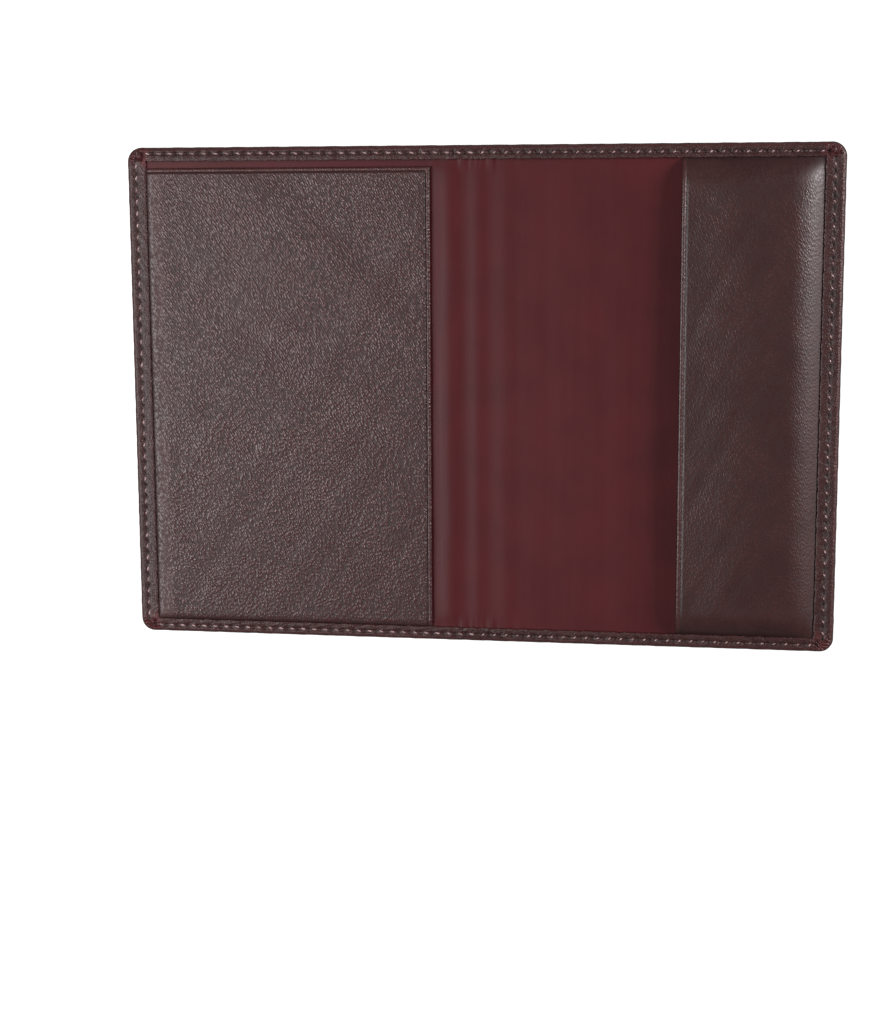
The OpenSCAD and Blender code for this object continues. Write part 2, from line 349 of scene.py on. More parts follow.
def shell(name, half, material):
    """One half of the outer leather, from the middle of the spine to the fore-edge: the
    outside face, the rolled edge and the hem, as one closed skin."""
    inner, roll_r, roll_z, skin = 6.6, 1.25, EDGE_Z / 2, 1.15
    face, roll, hem, wall = range(4)
    # stands for the height of whatever lies under the hem
    hem_floor = -1.0
    # each ring: its part of the skin, insets at the fore-edge and at the head, height
    rings = [(face, d, d, 0.0) for d in (inner, 5.2, 4.3, 3.8, 3.4, 3.1, 2.85, 2.6, 2.4, 2.2,
                                         2.0, 1.8, 1.55)]
    for a in np.radians(np.linspace(-90, 90, 15)):
        d = roll_r * (1 - math.cos(a))
        rings.append((roll, d, d, roll_z * (1 + math.sin(a))))
    for share in (0.07, 0.14, 0.21, 0.28, 0.35, 0.42, 0.5, 0.58, 0.67, 0.76, 0.84, 0.9, 0.95,
                  0.985, 1.0):
        drop = 0.24 * float(hump(share - 1.03, 0.045))
        rings.append((hem, roll_r + share * (FORE_HEM_W - roll_r),
                      roll_r + share * (HEM_W - roll_r), EDGE_Z - drop))
    rings += [(wall, FORE_HEM_W, HEM_W, hem_floor), (wall, FORE_HEM_W - 0.2, HEM_W - 0.2,
                                                     hem_floor),
              (wall, skin + 0.25, skin + 0.25, hem_floor), (wall, skin, skin, BOARD_Z),
              (wall, skin, skin, OUTER_Z + 0.1), (wall, skin + 0.2, skin + 0.2, OUTER_Z),
              (wall, inner, inner, OUTER_Z)]
    solid = Solid()
    numbers = []
    marks = {"crease": [], "worn_and_highlit": [], "turned": [], "raw": []}
    for part, dx, dy, z in rings:
        xy = rim(dx, dy)
        x, y = xy[:, 0].copy(), xy[:, 1].copy()
        s = np.concatenate([[0], np.cumsum(np.linalg.norm(np.diff(xy, axis=0), axis=1))])
        height = np.full(len(xy), z)
        none = np.zeros(len(xy))
        mark = dict(crease=none, worn_and_highlit=none, turned=none, raw=none)
        away = hole_distance(xy, half)
        gap = seam_gap(x, y, half)
        dip = GROOVE * hump(gap, 0.5) + HOLE * hump(away, 0.34) + PUCKER * hump(away, 1.1)
        # painted shade round each needle hole, wider round the holes of the fore-edge, which the
        # thread has pulled wider
        pulled = ease((x - HALF_W + FORE_HEM_W) / 0.8) * (0.2 if half == "back" else 0.08)
        holes = np.clip(1.5 * hump(away, 0.33 + pulled), 0, 1)
        if part == face:
            height += dip + 0.05 * hump(dx - 1.2, 0.5) + 0.1 * hump(x - FOLD_X, 0.7)
            # the needle holes on the outside carry painted shade
            mark["crease"] = holes
        elif part == roll:
            a = math.asin(np.clip(z / roll_z - 1, -1, 1)) / math.pi + 0.5
            pull = math.sin(math.pi * a) * (0.1 * hump(away - SEAM_INSET, 0.9)
                                            + 0.05 * wobble(s, 9.0, 1.3))
            cx, cy, _ = rim_centre(dx, dy)
            nx, ny = np.clip(x - cx, 0, None), np.sign(y) * np.clip(np.abs(y) - cy, 0, None)
            size = np.maximum(np.hypot(nx, ny), 1e-6)
            x, y = x - pull * nx / size, y - pull * ny / size
            inside = float(ease(2 * a - 1))
            lift, fold_mark, zone = pleat(x, y)
            height += PLEAT_H * lift * inside
            mark["worn_and_highlit"] = none + float(hump(a - 0.8, 0.14))
            # painted shade along the middle of the rolled edge, where it turns away, and in the folds
            # of the gathers
            mark["crease"] = np.maximum(0.9 * float(hump(a - 0.5, 0.22)), fold_mark * inside)
            mark["turned"] = none + inside
            mark["raw"] = 0.85 * zone * inside
        elif part == hem:
            lift, fold_mark, zone = pleat(x, y)
            spine, cut_edge = hump(x, 9.0), float(hump(dy - HEM_W, 0.5))
            height += PLEAT_H * lift - dip
            height += 0.13 * spine * wobble(x, 2.6, 0.7 + (y > 0)) - 0.08 * spine
            height += 0.05 * wobble(s, 7.0, 2.2) + 0.03 * wobble(s, 2.4, 0.3) * (dy / HEM_W)
            corner = hump(np.hypot(x - HALF_W + 5.0, np.abs(y) - HALF_H + 4.2), 1.6)
            # painted shade in the needle holes of the hem and in the folds of the gathers
            mark["crease"] = np.maximum(holes, fold_mark)
            mark["turned"] = none + 1
            mark["raw"] = np.maximum(np.maximum(0.85 * zone, corner), 0.2 * cut_edge)
            if cut_edge > 0.3:
                x, y = ragged(x, y, s)
        elif z == hem_floor:
            height = LINING_Z + (MARGIN_Z - LINING_Z) * on_margin(x, y, half)
            mark["raw"] = none + 0.8
            if dx == FORE_HEM_W:
                x, y = ragged(x, y, s)
        numbers.append(solid.add(np.stack([x, y, height], 1)))
        for key, values in marks.items():
            values.append(mark[key])
    for a, b in zip(numbers, numbers[1:]):
        solid.strip(a, b)

    def grid(ring, z, columns, rows, flip, press=None):
        """Fills the inside of a ring of points with a grid at height z."""
        cx, cy, _ = rim_centre(inner, inner)
        x, y = np.meshgrid(LONG[columns] * cx, SIDE[rows] * cy)
        height = np.full(x.shape, z) + (press(x, y) if press else 0)
        p = solid.add(np.stack([x, y, height], -1).reshape(-1, 3)).reshape(x.shape)
        for values in marks.values():
            values.append(np.zeros(p.size))
        new = []
        for r in range(len(rows) - 1):
            new += zip(p[r, :-1], p[r, 1:], p[r + 1, 1:], p[r + 1, :-1])
            first, last = FIRST_SIDE + rows[r], FIRST_SIDE + rows[r + 1]
            new.append([p[r, -1], *ring[first:last + 1], p[r + 1, -1]])
        back = ring[::-1]
        for c in range(len(columns) - 1):
            i, j = columns[c], columns[c + 1]
            new.append([*ring[i:j + 1], p[0, c + 1], p[0, c]])
            new.append([p[-1, c], p[-1, c + 1], *back[i:j + 1][::-1]])
        new.append([p[0, -1], *ring[LAST_LONG:FIRST_SIDE + 1]])
        new.append([p[-1, -1], *ring[LAST_SIDE:LAST_SIDE + ARC_COLUMNS + 1]])
        solid.faces += [list(f)[::-1] for f in new] if flip else new
        return p[:, 0]

    def chosen(values, dense, low, high, every):
        """Numbers of the grid lines kept: all of them from low to high, and else every few."""
        keep = [i for i, v in enumerate(values) if low <= v <= high and dense or i % every == 0]
        return np.array(sorted(set(keep + [0, len(values) - 1])))

    front = half == "front"
    cx, cy, _ = rim_centre(inner, inner)
    middle = FOLD_X + (HALF_W - FOLD_X) / 2
    near_fold = chosen(LONG * cx, True, 0, FOLD_X + 2.4, COLUMNS)
    columns = np.union1d(near_fold, chosen(LONG * cx, front, middle - 24, middle + 24, 3))
    rows = chosen(SIDE * cy, front, -45, 44, 3)

    def pressed(x, y):
        """The pressed line of the fold on the outside, and the ornament on the front cover."""
        press = 0.1 * hump(x - FOLD_X, 0.7)
        return press + (PRESS_DEPTH * ornament_depth(middle - x, y) if front else 0)

    face_edge = grid(numbers[0], 0.0, columns, rows, False, pressed)
    floor_rows = chosen(SIDE, False, 0, 0, 5 * COLUMNS)
    floor_edge = grid(numbers[-1], OUTER_Z, near_fold, floor_rows, True)
    head, tail = [n[0] for n in numbers], [n[-1] for n in numbers]
    solid.faces.append([*head, *floor_edge, *tail[::-1], *face_edge[::-1]])
    marks = {key: np.concatenate(values) for key, values in marks.items()}
    return solid.mesh(name, material, mirrored=front, marks=marks)


# ---------- lining, sleeve and pocket ----------

def lining(name, front, material):
    """Half of the lining, from the middle of the spine to just inside the rolled edge."""
    edge_x, edge_y = HALF_W - 2.0, HALF_H - 2.0
    xs = stepped((0, 0.4), (FOLD_X + 2.5, 0.8), (16, 1.6), (edge_x, 1))
    ys = stepped((-edge_y, 0.5), (6 - edge_y, 1.6), (edge_y - 6, 0.5), (edge_y, 1))

    def top(x, y):
        near_hem = hump(np.abs(y) - HEM_Y, 2.5)
        # the folds have left a soft ridge beside each fold line and one along the spine
        ridge = 0.4 * hump(x - 2.1 * FOLD_X - 0.3 * wobble(y, 60.0, 0.9 + front), 2.9)
        ridge = ridge * (1.0 if front else 0.4) + 0.18 * hump(x, 2.3)
        loose = ease((x - 9) / 4) * (1 - ease((x - (10 if front else 50)) / 4))
        sway = 0.5 + 0.5 * wobble(x + 0.02 * y, 13.0, 0.8)
        drawn = near_hem * (0.5 + 0.5 * wobble(x, 4.2, 1.9)) * hump(x, 14.0)
        return LINING_Z + (ridge + 0.07 * loose * sway) * (1 - near_hem) + 0.2 * drawn

    solid, x, y = sheet_solid(xs, ys, top, lambda x, y: np.full(x.shape, BOARD_Z))
    return solid.mesh(name, material, mirrored=front)


def rise(distance, run, fullness=2.3):
    """A domed rise from 0 at distance 0 to 1 at distance run, steep at first."""
    t = np.clip(1 - distance / run, 0, 1)
    return (1 - t ** fullness) ** (1 / fullness)


def swell(distance, run):
    """A soft rise from 0 at distance 0 to 1 at distance run, level at the top."""
    return 1 - np.clip(1 - distance / run, 0, 1) ** 2


def passport_sleeve(name, material):
    """The formed sleeve: a domed panel that comes out from under the hem on three sides, with
    a creased line beside its rounded mouth edge."""
    mouth, roof = SLEEVE[0].x, SLEEVE[1].z
    round_in, bead_w, crease_w = 0.42, 1.25, 0.32
    xs = stepped((mouth, 0.07), (mouth + round_in, 0.14), (mouth + 2.1, 0.6), (HEM_X - 7, 0.4),
                 (HEM_X - 1.6, 0.12), (HEM_X + 0.2, 0.9), (MARGIN_X, 1))
    half = stepped((0, 0.9), (HEM_Y - 6, 0.4), (HEM_Y - 1.6, 0.12), (HEM_Y + 0.2, 0.7),
                   (MARGIN_Y, 1))
    ys = np.concatenate([-half[:0:-1], half])

    def dome(x, y, inset):
        in_x = np.clip(HEM_X - x - inset, 0, None)
        in_y = np.clip(HEM_Y - np.abs(y) - inset, 0, None)
        across = 0.62 * swell(in_x, 9.0) + 0.38 * swell(in_x, 28.0)
        return across * (0.8 * swell(in_y, 7.0) + 0.2 * swell(in_y, 20.0))

    def mouth_round(x):
        t = np.clip((x - mouth) / round_in, 0, 1)
        return 1 - np.sqrt(1 - (1 - t) ** 2)

    def top(x, y):
        lift = dome(x, y, 0)
        z = MARGIN_Z + (roof - MARGIN_Z) * lift
        free = ease((lift - 0.3) / 0.7)
        crown = 0.4 * (y / HEM_Y) ** 2 + 0.5 * hump(x - mouth, 12.0)
        sway = 0.1 * wobble(y + 0.35 * x, 31.0, 1.1) + 0.05 * wobble(x - 0.5 * y, 13.0, 2.6)
        line = 0.2 * hump(x - mouth - bead_w, crease_w)
        bead = 0.1 * hump(x - mouth - 0.6 * bead_w, 0.5)
        return z - free * (crown + sway + line - bead) - 0.38 * mouth_round(x) * ease(lift * 2)

    def under(x, y):
        lift = dome(x, y, THICK)
        z = LINING_Z + 0.03 + (roof - THICK - LINING_Z - 0.1) * lift
        free = ease((lift - 0.3) / 0.7)
        return z - free * 0.4 * (y / HEM_Y) ** 2 - 0.1 * free + 0.3 * mouth_round(x) * lift

    solid, x, y = sheet_solid(xs, ys, top, under)
    # a painted highlight along the top of the bead beside the mouth
    edge = hump(x - mouth - 0.7, 0.3)
    # painted shade along the creased line beside the mouth, and at the foot of the sleeve where it
    # goes under the hem
    line = 0.3 * hump(x - mouth - bead_w - 0.25, 0.5)
    foot = np.maximum(hump(x - HEM_X, 0.5), hump(np.abs(y) - HEM_Y, 0.5))
    # the grain is smoothed near the hem, and the colour there is painted darker as shade
    smooth = np.maximum(ease((np.abs(y) - HEM_Y + 12) / 12), 0.7 * ease((x - HEM_X + 7) / 9))
    marks = {"crease": np.tile(np.maximum(line, foot).ravel(), 2),
             "worn_and_highlit": np.tile(edge.ravel(), 2), "smoothed_and_shaded": np.tile(smooth.ravel(), 2)}
    return solid.mesh(name, material, marks=marks, sharp=60)


def ticket_pocket(name, material):
    """The flat pocket panel, tucked under the hem at the fore-edge and the tail, with creased
    lines beside its two free edges. It is drawn on the right and mirrored."""
    free_x, free_y, high = -POCKET[1].x, POCKET[1].y, POCKET[1].z
    crease_in, round_in = 1.2, 0.4
    xs = stepped((free_x, 0.08), (free_x + round_in, 0.13), (free_x + 2.2, 1.0), (HEM_X - 3, 0.25),
                 (HEM_X + 0.3, 0.8), (MARGIN_X, 1))
    ys = stepped((-MARGIN_Y, 0.8), (-HEM_Y - 0.3, 0.25), (3 - HEM_Y, 1.0), (free_y - 2.2, 0.13),
                 (free_y - round_in, 0.08), (free_y, 1))

    def tucked(x, y):
        """1 on the panel, 0 under the hem."""
        return rise(np.clip(HEM_X - x, 0, None), 2.4) * rise(np.clip(y + HEM_Y, 0, None), 2.4)

    def edge_round(x, y):
        t = np.clip(np.minimum(x - free_x, free_y - y) / round_in, 0, 1)
        return 1 - np.sqrt(1 - (1 - t) ** 2)

    def lines(x, y):
        beside = hump(x - free_x - crease_in, 0.2) * ease((free_y - y - crease_in + 0.3) / 0.3)
        above = hump(free_y - y - crease_in, 0.2) * ease((x - free_x - crease_in + 0.3) / 0.3)
        return np.maximum(beside, above)

    def sway(x, y):
        loose = ease((HEM_X - x) / 30) * ease((y + HEM_Y) / 40)
        return (0.16 * loose * wobble(0.9 * x - y, 46.0, 0.6)
                + 0.05 * wobble(x + 0.7 * y, 17.0, 1.7) * ease((HEM_X - x) / 8))

    def top(x, y):
        on = tucked(x, y)
        bead = 0.08 * np.maximum(hump(x - free_x - 0.65, 0.4), hump(free_y - y - 0.65, 0.4))
        z = MARGIN_Z + (high - MARGIN_Z) * on + sway(x, y) * ease(on)
        return z + bead - 0.26 * lines(x, y) - 0.34 * edge_round(x, y)

    def under(x, y):
        on = ease((HEM_X - x - 1.2) / 2) * ease((y + HEM_Y - 1.2) / 2)
        z = LINING_Z + 0.02 + (high - THICK - LINING_Z) * on
        return z + sway(x, y) * on + 0.3 * edge_round(x, y)

    solid, x, y = sheet_solid(xs, ys, top, under)
    near_edge = np.minimum(x - free_x, free_y - y)
    # painted shade at the foot of the panel where it goes under the hem, and along the creased lines
    foot = np.maximum(hump(x - HEM_X, 0.6), hump(y + HEM_Y, 0.6))
    # the grain is smoothed near the hem and the free top edge, and the colour there is painted darker
    # as shade
    smooth = np.maximum(ease((x - HEM_X + 7) / 6), 0.3 * ease((y - free_y + 7) / 6))
    marks = {"crease": np.tile(np.maximum(lines(x, y), foot).ravel(), 2),
             # a painted highlight along the top of the bead beside each free edge
             "worn_and_highlit": np.tile(hump(near_edge - 0.7, 0.3).ravel(), 2),
             "smoothed_and_shaded": np.tile(smooth.ravel(), 2)}
    return solid.mesh(name, material, mirrored=True, marks=marks, sharp=60)


# ---------- shader helpers ----------

def put(tree, socket, value):
    """Links an input to another node's output, or sets it to a plain value."""
    if isinstance(value, bpy.types.NodeSocket):
        tree.links.new(value, socket)
    else:
        socket.default_value = value


def feed(tree, made, **inputs):
    """Sets or links inputs by name; spaces in a socket's name are written as underscores."""
    for key, value in inputs.items():
        wanted = key.replace("_", " ").lower()
        socket = next(s for s in made.inputs if s.name.lower() == wanted and s.enabled)
        put(tree, socket, value)
    return made


def maths(tree, operation, a, b=0.0, c=0.0, clamp=False):
    made = tree.nodes.new("ShaderNodeMath")
    made.operation, made.use_clamp = operation, clamp
    for socket, value in zip(made.inputs, (a, b, c)):
        put(tree, socket, value)
    return made.outputs[0]


def times(tree, a, b):
    return maths(tree, "MULTIPLY", a, b)


def span(tree, value, low, high, to_low=0.0, to_high=1.0):
    """Maps value from low..high to to_low..to_high, smoothly and clamped."""
    made = tree.nodes.new("ShaderNodeMapRange")
    made.interpolation_type = "SMOOTHSTEP"
    feed(tree, made, value=value, from_min=low, from_max=high, to_min=to_low, to_max=to_high)
    return made.outputs[0]


def blend_colour(tree, factor, a, b):
    made = tree.nodes.new("ShaderNodeMix")
    made.data_type = "RGBA"
    for socket, value in zip((made.inputs[0], made.inputs[6], made.inputs[7]), (factor, a, b)):
        put(tree, socket, value)
    return made.outputs[2]


def vector_maths(tree, operation, a, b):
    made = tree.nodes.new("ShaderNodeVectorMath")
    made.operation = operation
    for socket, value in zip(made.inputs, (a, b)):
        put(tree, socket, value)
    return made.outputs[0]


def scaled_by(tree, vector, factor):
    made = vector_maths(tree, "SCALE", vector, (0, 0, 0))
    put(tree, made.node.inputs["Scale"], factor)
    return made


def vector_of(tree, x, y, z):
    made = tree.nodes.new("ShaderNodeCombineXYZ")
    for socket, value in zip(made.inputs, (x, y, z)):
        put(tree, socket, value)
    return made.outputs[0]


def carried(tree, name, output="Fac"):
    """A value that the piece carries at each of its points."""
    made = tree.nodes.new("ShaderNodeAttribute")
    made.attribute_name = name
    return made.outputs[output]


def raised(tree, shader, height, depth, strength=1.0):
    """Stands the surface up by height, where 1 is depth millimetres."""
    bump = feed(tree, tree.nodes.new("ShaderNodeBump"), height=height, distance=depth * MM,
                strength=strength)
    feed(tree, shader, normal=bump.outputs[0])


def new_group(name, inputs, outputs):
    """A shader node group. Returns its tree, its input node and its output node."""
    tree = bpy.data.node_groups.new(name, "ShaderNodeTree")
    for title, default in inputs.items():
        socket = tree.interface.new_socket(title, in_out="INPUT", socket_type="NodeSocketFloat")
        socket.default_value = default
    for title, kind in outputs.items():
        tree.interface.new_socket(title, in_out="OUTPUT", socket_type=kind)
    return tree, tree.nodes.new("NodeGroupInput"), tree.nodes.new("NodeGroupOutput")


def place_group(tree, group, **values):
    made = tree.nodes.new("ShaderNodeGroup")
    made.node_tree = group
    return feed(tree, made, **values)


# ---------- shader groups ----------

def place_on(tree):
    """Where a point of the flat piece is, in millimetres."""
    return carried(tree, "place", "Vector")


def noise(tree, at, scale, detail=2.0, roughness=0.5, output="Fac"):
    made = tree.nodes.new("ShaderNodeTexNoise")
    return feed(tree, made, vector=at, scale=scale, detail=detail,
                roughness=roughness).outputs[output]


def pushed_about(tree, at, scale, amount, detail=2.0):
    """Moves the place about by up to amount, unevenly."""
    push = vector_maths(tree, "SUBTRACT", noise(tree, at, scale, detail, output="Color"),
                        (0.5, 0.5, 0.5))
    return vector_maths(tree, "ADD", at, scaled_by(tree, push, amount))


def grain_group():
    """The grain of leather: wavy rows of pebbles drawn out along one direction, with fine pores.
    Rows is the width of a row in millimetres, Run how many times longer its pebbles are."""
    tree, given, out = new_group(
        "Leather grain",
        {"Rows": 0.6, "Run": 2.5, "Turn": 0.0, "Sway": 3.0, "Order": 0.5, "Pores": 0.3},
        {"Height": "NodeSocketFloat", "Tone": "NodeSocketFloat"})
    place = place_on(tree)
    # the rows wander instead of running straight
    wandering = pushed_about(tree, place, 0.055, given.outputs["Sway"], 1.0)
    turned = tree.nodes.new("ShaderNodeVectorRotate")
    turned.rotation_type = "Z_AXIS"
    feed(tree, turned, vector=wandering, angle=given.outputs["Turn"])
    split = tree.nodes.new("ShaderNodeSeparateXYZ")
    tree.links.new(turned.outputs[0], split.inputs[0])
    across = maths(tree, "DIVIDE", split.outputs[0], given.outputs["Rows"])
    along = maths(tree, "DIVIDE", maths(tree, "DIVIDE", split.outputs[1],
                                        given.outputs["Rows"]), given.outputs["Run"])
    flat = vector_of(tree, across, along, times(tree, split.outputs[2], 0.6))
    at = pushed_about(tree, flat, 0.8, 0.5)
    pebbles = tree.nodes.new("ShaderNodeTexVoronoi")
    pebbles.feature = "SMOOTH_F1"
    feed(tree, pebbles, vector=at, scale=1.0, smoothness=0.3, randomness=0.8)
    domed = span(tree, pebbles.outputs["Distance"], 0.0, 0.8, 1.0, 0.0)
    phase = maths(tree, "MULTIPLY_ADD", noise(tree, flat, 0.6, 2.0, 0.6), 12.0,
                  times(tree, across, 2 * math.pi))
    rows = maths(tree, "MULTIPLY_ADD", maths(tree, "SINE", phase), 0.5, 0.5)
    pebbled = times(tree, domed, maths(tree, "SUBTRACT", 1.0, given.outputs["Order"]))
    ordered = maths(tree, "MULTIPLY_ADD", rows, given.outputs["Order"], pebbled)
    poured = maths(tree, "MULTIPLY_ADD", noise(tree, flat, 2.6, 2.0, 0.6),
                   given.outputs["Pores"], ordered)
    tree.links.new(poured, out.inputs["Height"])
    tree.links.new(noise(tree, place, 0.09, 3.0, 0.55), out.inputs["Tone"])
    return tree


def wear_and_light_group():
    """Handling and painted light: the rolled edges polish and show their dyed colour, the beads by
    the sleeve's mouth and the pocket's free edges get a painted highlight, and needle holes, creased
    lines, folds of the gathers, the middle of the rolled edge and the feet of the panels get painted
    shade.
    """
    tree, given, out = new_group(
        "Handling and painted light",
        {"Amount": 1.0, "Patch": 3.0},
        {"Rubbed and highlit": "NodeSocketFloat", "Dark": "NodeSocketFloat", "Raw": "NodeSocketFloat"})
    patch = noise(tree, place_on(tree), 1.0, 3.0, 0.6)
    tree.links.new(maths(tree, "DIVIDE", 1.0, given.outputs["Patch"]),
                   patch.node.inputs["Scale"])
    for title, mark, low in (("Rubbed and highlit", "worn_and_highlit", 0.3), ("Dark", "crease", 0.15),
                             ("Raw", "raw", 0.35)):
        patchy = times(tree, carried(tree, mark), span(tree, patch, low, 0.65, 0.3, 1.0))
        tree.links.new(maths(tree, "MULTIPLY", patchy, given.outputs["Amount"], clamp=True),
                       out.inputs[title])
    return tree


def wrinkle_group():
    """The small wrinkles and specks of leather that is pulled round an edge, in millimetres."""
    tree, given, out = new_group(
        "Turned leather",
        {"Size": 1.2},
        {"Height": "NodeSocketFloat", "Specks": "NodeSocketFloat"})
    place = place_on(tree)
    at = scaled_by(tree, place, maths(tree, "DIVIDE", 1.0, given.outputs["Size"]))
    soft = noise(tree, at, 1.0, 3.0, 0.6)
    ridges = maths(tree, "ABSOLUTE", maths(tree, "SUBTRACT", soft, 0.5))
    turned = carried(tree, "turned")
    tree.links.new(times(tree, span(tree, ridges, 0.0, 0.16), turned), out.inputs["Height"])
    specks = span(tree, noise(tree, pushed_about(tree, at, 0.7, 0.8), 1.3, 2.0, 0.7),
                  0.5, 0.66)
    tree.links.new(times(tree, specks, turned), out.inputs["Specks"])
    return tree


GRAIN, WEAR_AND_LIGHT, WRINKLES = grain_group(), wear_and_light_group(), wrinkle_group()


# ---------- materials ----------

def rgb(red, green, blue):
    """A linear colour from 0..255 display values."""
    def linear(v):
        v /= 255
        return v / 12.92 if v <= 0.04045 else ((v + 0.055) / 1.055) ** 2.4
    return (linear(red), linear(green), linear(blue), 1.0)


def new_material(name, **shader_values):
    material = bpy.data.materials.new(name)
    material.use_nodes = True
    tree = material.node_tree
    shader = tree.nodes["Principled BSDF"]
    feed(tree, shader, **shader_values)
    return material, tree, shader


def leather(name, light, dark, valley_shade, rows, run, turn, relief, rough, order, pores=0.3, depth=0.6,
            shine=0.5):
    """Dyed and finished leather. light and dark are its tones, the third colour is painted shade in
    the valleys between its pebbles and on the smoothed margins, depth how strongly that shade shows,
    relief the height of its grain in millimetres, rough its roughness on top of the pebbles and
    between them."""
    material, tree, shader = new_material(name, specular_ior_level=shine)
    grain = place_group(tree, GRAIN, rows=rows, run=run, turn=math.radians(turn), order=order,
                        pores=pores)
    wear_and_light, wrinkle = place_group(tree, WEAR_AND_LIGHT), place_group(tree, WRINKLES)
    # this mark smooths the grain and also paints the colour darker as shade
    flat = carried(tree, "smoothed_and_shaded")
    standing = times(tree, span(tree, flat, 0.0, 1.0, 1.0, 0.2),
                     span(tree, grain.outputs["Tone"], 0.25, 0.65, 0.7, 1.0))
    base = blend_colour(tree, span(tree, grain.outputs["Tone"], 0.3, 0.7), dark, light)
    # the valleys of the grain are painted darker as shade, and so are the smoothed margins
    valley = span(tree, grain.outputs["Height"], 0.15, 0.95, 1.0, 0.0)
    between = times(tree, times(tree, valley, depth), standing)
    low = maths(tree, "MAXIMUM", between, times(tree, flat, 0.45 * depth))
    colour = blend_colour(tree, low, base, valley_shade)
    # the specks, the raw leather and the polished edges are the leather's own colour; painted
    # highlights and painted shade are blended in here too
    for mask, share, stain in ((wrinkle.outputs["Specks"], 0.35, SPECKS_AND_SHADE),
                               (wear_and_light.outputs["Rubbed and highlit"], 0.6, RUBBED_AND_HIGHLIT),
                               (wear_and_light.outputs["Raw"], 0.75, RAW),
                               (wear_and_light.outputs["Dark"], 0.85, SPECKS_AND_SHADE)):
        colour = blend_colour(tree, times(tree, mask, share), colour, stain)
    gloss = span(tree, grain.outputs["Height"], 0.1, 0.9, rough[1], rough[0])
    polished = maths(tree, "MULTIPLY_ADD", wear_and_light.outputs["Rubbed and highlit"], -0.08, gloss)
    duller = maths(tree, "MULTIPLY_ADD", wear_and_light.outputs["Dark"], 0.3, polished)
    feed(tree, shader, base_color=colour,
         roughness=maths(tree, "MULTIPLY_ADD", flat, 0.08, duller, clamp=True))
    stood = times(tree, grain.outputs["Height"], standing)
    raised(tree, shader, maths(tree, "MULTIPLY_ADD", wrinkle.outputs["Height"], 0.8, stood),
           relief)
    return material


def lining_leather(name):
    """Smooth corrected split leather: a burgundy film with faint roller marks."""
    material, tree, shader = new_material(name, specular_ior_level=0.22)
    place = place_on(tree)
    drawn = vector_maths(tree, "MULTIPLY", place, (0.9, 0.03, 1.0))
    marks = noise(tree, drawn, 1.0, 3.0, 0.55)
    speck = noise(tree, place, 3.1, 2.0, 0.6)
    tone = span(tree, noise(tree, place, 0.07, 2.0), 0.3, 0.7)
    base = blend_colour(tree, tone, rgb(70, 22, 26), rgb(77, 25, 29))
    film = blend_colour(tree, times(tree, marks, 0.12), base, rgb(82, 33, 37))
    feed(tree, shader, base_color=film, roughness=span(tree, marks, 0.25, 0.75, 0.42, 0.48))
    raised(tree, shader, maths(tree, "MULTIPLY_ADD", marks, 0.35, speck), 0.03, 0.8)
    return material


def thread(name, light, dark):
    """Bonded polyester thread: plies that wind round each stitch, with a soft shine and a painted
    highlight along the crest of each stitch.
    """
    material, tree, shader = new_material(name, specular_ior_level=0.5, sheen_weight=0.3,
                                          sheen_roughness=0.35)
    along, around, place = carried(tree, "along"), carried(tree, "around"), place_on(tree)
    wound = maths(tree, "MULTIPLY_ADD", along, 3.5, times(tree, around, 2.0))
    ply = maths(tree, "ABSOLUTE", maths(tree, "SINE", times(tree, wound, math.pi)))
    fuzz, patch = noise(tree, place, 5.2, 2.0), noise(tree, place, 0.45, 2.0)
    # the light colour is a painted highlight, brightest at the middle of each stitch and gone where
    # it dives into its holes
    from_middle = maths(tree, "ABSOLUTE", maths(tree, "SUBTRACT", along, 0.5))
    crest = span(tree, from_middle, 0.1, 0.42, 1.0, 0.0)
    lit = times(tree, times(tree, span(tree, ply, 0.0, 0.9, 0.4), crest),
                span(tree, patch, 0.35, 0.65, 0.45, 1.0))
    feed(tree, shader, base_color=blend_colour(tree, lit, dark, light),
         roughness=span(tree, fuzz, 0.2, 0.8, 0.35, 0.6))
    raised(tree, shader, maths(tree, "MULTIPLY_ADD", fuzz, 0.25, ply), 0.08)
    return material


def board_paper(name):
    """Pressed grey board with flecks of fibre."""
    material, tree, shader = new_material(name, specular_ior_level=0.3)
    place = tree.nodes.new("ShaderNodeTexCoord").outputs["Object"]
    fibre = noise(tree, place, 900.0, 5.0, 0.7)
    fleck = noise(tree, place, 260.0, 2.0)
    base = blend_colour(tree, span(tree, fibre, 0.3, 0.7), rgb(158, 146, 122),
                        rgb(190, 178, 154))
    flecked = blend_colour(tree, span(tree, fleck, 0.62, 0.7), base, rgb(120, 106, 84))
    feed(tree, shader, base_color=flecked, roughness=span(tree, fibre, 0.2, 0.8, 0.8, 0.95))
    raised(tree, shader, fibre, 0.04, 0.6)
    return material


# the lighter colour is for polished edges and for painted highlights, the darkest for specks and for
# painted shade
RUBBED_AND_HIGHLIT, SPECKS_AND_SHADE, RAW = rgb(92, 52, 52), rgb(26, 10, 11), rgb(96, 34, 37)
COVER_LEATHER = leather("cover_leather", rgb(64, 35, 34), rgb(54, 27, 27), rgb(42, 12, 13),
                        rows=0.5, run=1.3, turn=-20, relief=0.06, order=0.15, pores=0.5,
                        rough=(0.36, 0.5), shine=0.4)
